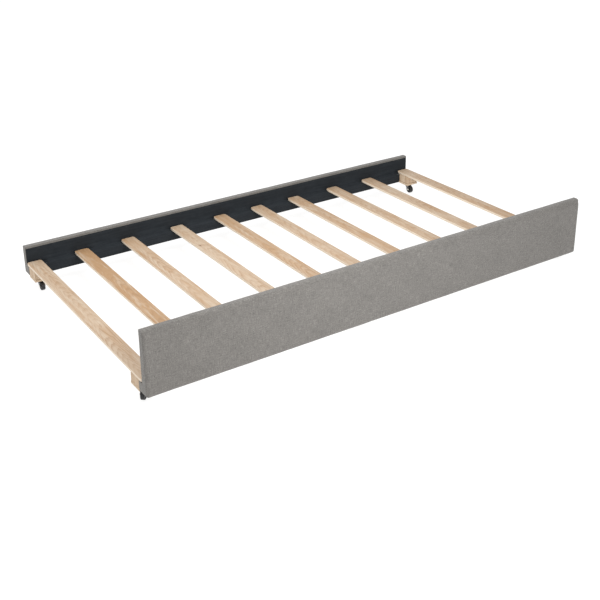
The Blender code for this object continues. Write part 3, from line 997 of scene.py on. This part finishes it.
def screwHead(name, radius, height, place, down=-1):
    # pan head with a cross recess; it stands down from its seat
    x, y, z = place
    head = addRod(name, radius, height, (x, y, z + down * height / 2), around=24)
    shape(head)
    roundEdges(lambda e: isSharp(e) and (middle(e).z - z) * down > height / 2, height * 0.55, 3)
    letGo()
    for size in ((radius * 1.1, radius * 0.22), (radius * 0.22, radius * 1.1)):
        depth = z + down * height
        tool = addBox(
            "cross",
            (x - size[0] / 2, y - size[1] / 2, depth - 0.0007),
            (x + size[0] / 2, y + size[1] / 2, depth + 0.0007),
        )
        carve(head, tool)
    return head


def joinAll(first, others):
    letGo()
    for obj in others:
        obj.select_set(True)
    first.select_set(True)
    bpy.context.view_layer.objects.active = first
    bpy.ops.object.join()
    return first


def modelPlate(sizes):
    plate = addBox("plate", *sizes["plate"])
    shape(plate)
    roundEdges(lambda e: runsAlong(e, 2), caster["plateCorner"], 6)
    roundEdges(lambda e: isSharp(e) and not runsAlong(e, 2), caster["plateEase"], 2)
    letGo()
    return plate


def modelScrews(sizes):
    seat = sizes["plate"][0].z
    pitch = caster["screwPitch"]
    heads = [
        screwHead("screws", caster["screwHead"], caster["screwHeight"], (x, y, seat))
        for x in (-pitch, pitch)
        for y in (-pitch, pitch)
    ]
    return joinAll(heads[0], heads[1:])


def modelRace(sizes):
    low, high = sizes["race"]
    middleZ, height = (low.z + high.z) / 2, high.z - low.z
    race = addRod("race", high.x, height, (0, 0, middleZ), around=40)
    shape(race)
    bpy.ops.mesh.select_all(action="SELECT")
    for level in (-0.14, 0.14):       # the gap between the two cups
        bpy.ops.mesh.bisect(plane_co=(0, 0, middleZ + level * height), plane_no=(0, 0, 1))
        bpy.ops.mesh.select_all(action="SELECT")
    pick("faces", lambda f: abs(f.normal.z) < 0.3 and abs(f.calc_center_median().z - middleZ) < 0.1 * height)
    bpy.ops.mesh.inset(thickness=0, depth=-caster["raceGroove"])
    roundEdges(lambda e: isSharp(e) and abs(middle(e).z - middleZ) > 0.45 * height, caster["raceEase"], 2)
    letGo()
    return race


def modelFork(sizes):
    low, high = sizes["fork"]
    axle = (sizes["wheel"][0] + sizes["wheel"][1]) / 2
    crown = high.y
    top = high.z
    fork = addBox("fork", (low.x, -crown, top - caster["crownDepth"]), (high.x, crown, top))
    boss = addRod("boss", caster["boss"], high.x - low.x, (0, axle.y, axle.z), axis="X", around=40)
    joinAll(fork, [boss])
    shape(fork)
    bpy.ops.mesh.select_all(action="SELECT")
    bpy.ops.mesh.convex_hull()
    pick("faces", lambda f: abs(f.normal.x) > 0.99)
    bpy.ops.mesh.dissolve_faces()
    pick("faces", lambda f: abs(f.normal.x) > 0.99)
    bpy.ops.mesh.inset(thickness=caster["ribInset"], use_individual=True)
    bpy.ops.mesh.inset(thickness=caster["ribSlope"], depth=-caster["ribDepth"], use_individual=True)
    wide = high.x - 1e-5
    roundEdges(lambda e: isSharp(e, 40) and all(abs(v.co.x) > wide for v in e.verts), caster["bend"], 3)
    letGo()
    slot = addBox(
        "slot",
        (low.x + caster["sheet"], -0.05, -0.01),
        (high.x - caster["sheet"], 0.05, top - caster["sheet"]),
    )
    shape(slot)
    roundEdges(lambda e: runsAlong(e, 1) and middle(e).z > 0, caster["slotEase"], 3)
    letGo()
    carve(fork, slot)
    carve(fork, addRod("hole", caster["kingpinHole"], 0.01, (0, 0, top)))
    carve(fork, addRod("hole", caster["axleHole"], 0.06, (0, axle.y, axle.z), axis="X"))
    return fork


def modelKingpin(sizes):
    low, high = sizes["kingpin"]
    head = caster["rivet"]
    length = high.z - low.z - head + 0.0002
    pin = addRod("kingpin", caster["kingpin"], length, (0, 0, (high.z + low.z + head) / 2), around=24)
    rivet = addRod("rivet", high.x, head, (0, 0, low.z + head / 2), around=32)
    shape(rivet)
    roundEdges(lambda e: isSharp(e) and middle(e).z < low.z + touch, caster["rivetEase"], 4)
    letGo()
    carve(pin, rivet, "UNION")
    return pin


def modelAxle(sizes):
    low, high = sizes["axle"]
    centre = (low + high) / 2
    length, head = high.x - low.x - 0.002, caster["axleHead"]
    axle = addRod("axle", caster["axle"], length, (0, centre.y, centre.z), axis="X", around=24)
    for way in (-1, 1):
        place = (way * (high.x - head / 2), centre.y, centre.z)
        rivet = addRod("rivet", high.z - centre.z, head, place, axis="X", around=32)
        shape(rivet)
        roundEdges(lambda e: isSharp(e) and middle(e).x * way > high.x - touch, caster["axleEase"], 4)
        letGo()
        carve(axle, rivet, "UNION")
    return axle


def modelWheel(sizes):
    low, high = sizes["wheel"]
    centre = (low + high) / 2
    radius = centre.z
    width = 2 * (high.x - caster["hubRise"] - 2 * hair)
    wheel = addRod("wheel", radius, width, centre, axis="X", around=56)
    shape(wheel)
    roundEdges(lambda e: isSharp(e), caster["shoulder"], 5)
    pick("faces", lambda f: abs(f.normal.x) > 0.999)
    bpy.ops.mesh.inset(thickness=caster["tyreFlat"], use_individual=True)
    bpy.ops.mesh.inset(thickness=caster["lip"], depth=-caster["recess"], use_individual=True)
    web = radius - caster["shoulder"] - caster["tyreFlat"] - caster["lip"]
    bpy.ops.mesh.inset(thickness=web - caster["hub"], use_individual=True)
    rise = caster["recess"] + caster["hubRise"]
    bpy.ops.mesh.inset(thickness=caster["hubLip"], depth=rise, use_individual=True)
    bpy.ops.mesh.inset(thickness=caster["hub"] - caster["hubLip"] - caster["bore"], use_individual=True)
    bpy.ops.mesh.delete(type="FACE")
    pick("edges", lambda e: e.is_boundary)
    bpy.ops.mesh.bridge_edge_loops()
    letGo()
    # a parting line round the middle of the tread
    shape(wheel)
    bpy.ops.mesh.select_all(action="SELECT")
    for at in (-caster["partingLine"], caster["partingLine"]):
        bpy.ops.mesh.bisect(plane_co=(at, 0, 0), plane_no=(1, 0, 0))
        bpy.ops.mesh.select_all(action="SELECT")
    rim = radius * 0.98

    def onGroove(face):
        at = face.calc_center_median()
        return abs(at.x) < 0.0004 and math.hypot(at.y - centre.y, at.z - centre.z) > rim

    pick("faces", onGroove)
    bpy.ops.mesh.inset(thickness=0.0002, depth=-0.0003)
    letGo()
    return wheel


def fitCasters():
    sizes = casterSizes()
    patterns = {
        "plate": (modelPlate, "bed_frame", "black_steel", "steel"),
        "screws": (modelScrews, "bed_frame", "zinc_steel", "zinc"),
        "race": (modelRace, "bed_frame", "black_steel", "steel"),
        "fork": (modelFork, "fork", "black_steel", "steel"),
        "kingpin": (modelKingpin, "bed_frame", "black_steel", "steel"),
        "axle": (modelAxle, "fork", "zinc_steel", "zinc"),
        "wheel": (modelWheel, "wheel", "wheel_plastic", "nylon"),
    }
    for part, (model, body, slot, look) in patterns.items():
        pattern = model(sizes)
        for corner in corners:
            low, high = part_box(f"{corner}_caster_plate")
            move = ((low.x + high.x) / 2, (low.y + high.y) / 2, 0)
            turn = 0 if part in ("plate", "screws") else swivelOf(corner)
            piece = copyOf(pattern, f"{corner}_swivel_{part}", move, turn)
            rides = body if body == "bed_frame" else f"{corner}_{body}"
            node = f"{corner}_caster_{part}"
            finish(piece, rides, finishes[look], [node] if node in nodes else ())
        bpy.data.objects.remove(pattern)


fitCasters()
print("casters are fitted:", len(corners))


# screws through the corner blocks
blockScrew = {
    "head": 0.0045,
    "height": 0.0030,
    "shank": 0.0024,
    "cross": 0.0052,
    "slit": 0.0011,
    "slitDepth": 0.0013,
}


def driveBlockScrews():
    for corner in corners:
        node = f"{corner}_block_screw"
        low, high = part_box(node)
        side = sides[corner.split("_")[0]]
        x, z = (low.x + high.x) / 2, (low.z + high.z) / 2
        headY = high.y if side < 0 else low.y
        length = high.y - low.y
        depth, reach = blockScrew["height"], blockScrew["head"]
        axisY = headY + side * depth / 2
        letGo()
        # the cone's wide end faces the middle of the bed
        bpy.ops.mesh.primitive_cone_add(
            vertices=32, radius1=reach, radius2=blockScrew["shank"], depth=depth,
            location=(x, axisY, z), rotation=(-side * math.pi / 2, 0, 0),
        )
        screw = keepAs(f"{corner}_long_screw")
        place = (x, headY + side * (length + depth) / 2, z)
        shank = addRod("shank", blockScrew["shank"], length - depth, place, axis="Y", around=20)
        carve(screw, shank, "UNION")
        cross, slit = blockScrew["cross"], blockScrew["slit"]
        for wide, tall in ((cross, slit), (slit, cross)):
            tool = addBox(
                "cross",
                (x - wide / 2, headY - blockScrew["slitDepth"], z - tall / 2),
                (x + wide / 2, headY + blockScrew["slitDepth"], z + tall / 2),
            )
            carve(screw, tool)
        finish(screw, "bed_frame", finishes["zinc"], [node])


driveBlockScrews()
print("block screws are in")


staple = {
    "crown": 0.0105,
    "wire": 0.0010,
    "proud": 0.0005,
    "pitch": 0.062,
    "bend": 0.0007,
    "belowTop": 0.005,                # from the cloth's upper edge to the wall row
    "fromLedger": 0.009,              # from the ledger's inner face to the foot row
}


def addStapleRow(name, place, normal, length, material):
    # one staple, repeated along X; the crown lies proud of the cloth and its ends bend into it
    half = Vector((staple["crown"] / 2, 0, 0))
    tall = Vector(normal) * staple["proud"]
    across = Vector((0, 1, 1)) - Vector([abs(c) for c in normal])
    across = across * staple["wire"] / 2
    count = int((length - 0.05) // staple["pitch"]) + 1
    start = Vector(place) - Vector(((count - 1) * staple["pitch"] / 2, 0, 0))
    row = addBox(name, start - half - across - tall, start + half + across + tall)
    way = Vector(normal)
    shape(row)
    lift = start.dot(way)

    def isShoulder(e):
        at = middle(e)
        return isSharp(e) and abs(at.x - start.x) > half.x * 0.98 and at.dot(way) > lift + touch

    roundEdges(isShoulder, staple["bend"], 2)
    letGo()
    modify(row, "ARRAY", count=count, use_relative_offset=False, use_constant_offset=True,
           constant_offset_displace=(staple["pitch"], 0, 0))
    finish(row, "bed_frame", material)


def stapleRails():
    for sideName, side in sides.items():
        low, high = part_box(f"{sideName}_rail_dust_cloth")
        ledgerLow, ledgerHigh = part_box(f"{sideName}_ledger")
        length = high.x - low.x
        wall = low.y if side < 0 else high.y
        inwards = (0, -side, 0)
        place = (0, wall - side * (drape["thickness"] + hair), high.z - staple["belowTop"])
        addStapleRow(f"{sideName}_wall_staples", place, inwards, length, finishes["steel"])
        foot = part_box(f"{sideName}_rail_cover")[0].z
        ledgerInner = ledgerHigh.y if side < 0 else ledgerLow.y
        place = (0.02, ledgerInner + side * staple["fromLedger"], foot)
        addStapleRow(f"{sideName}_foot_staples", place, (0, 0, -1), length - 0.2, finishes["zinc"])


stapleRails()
print("staples are in")
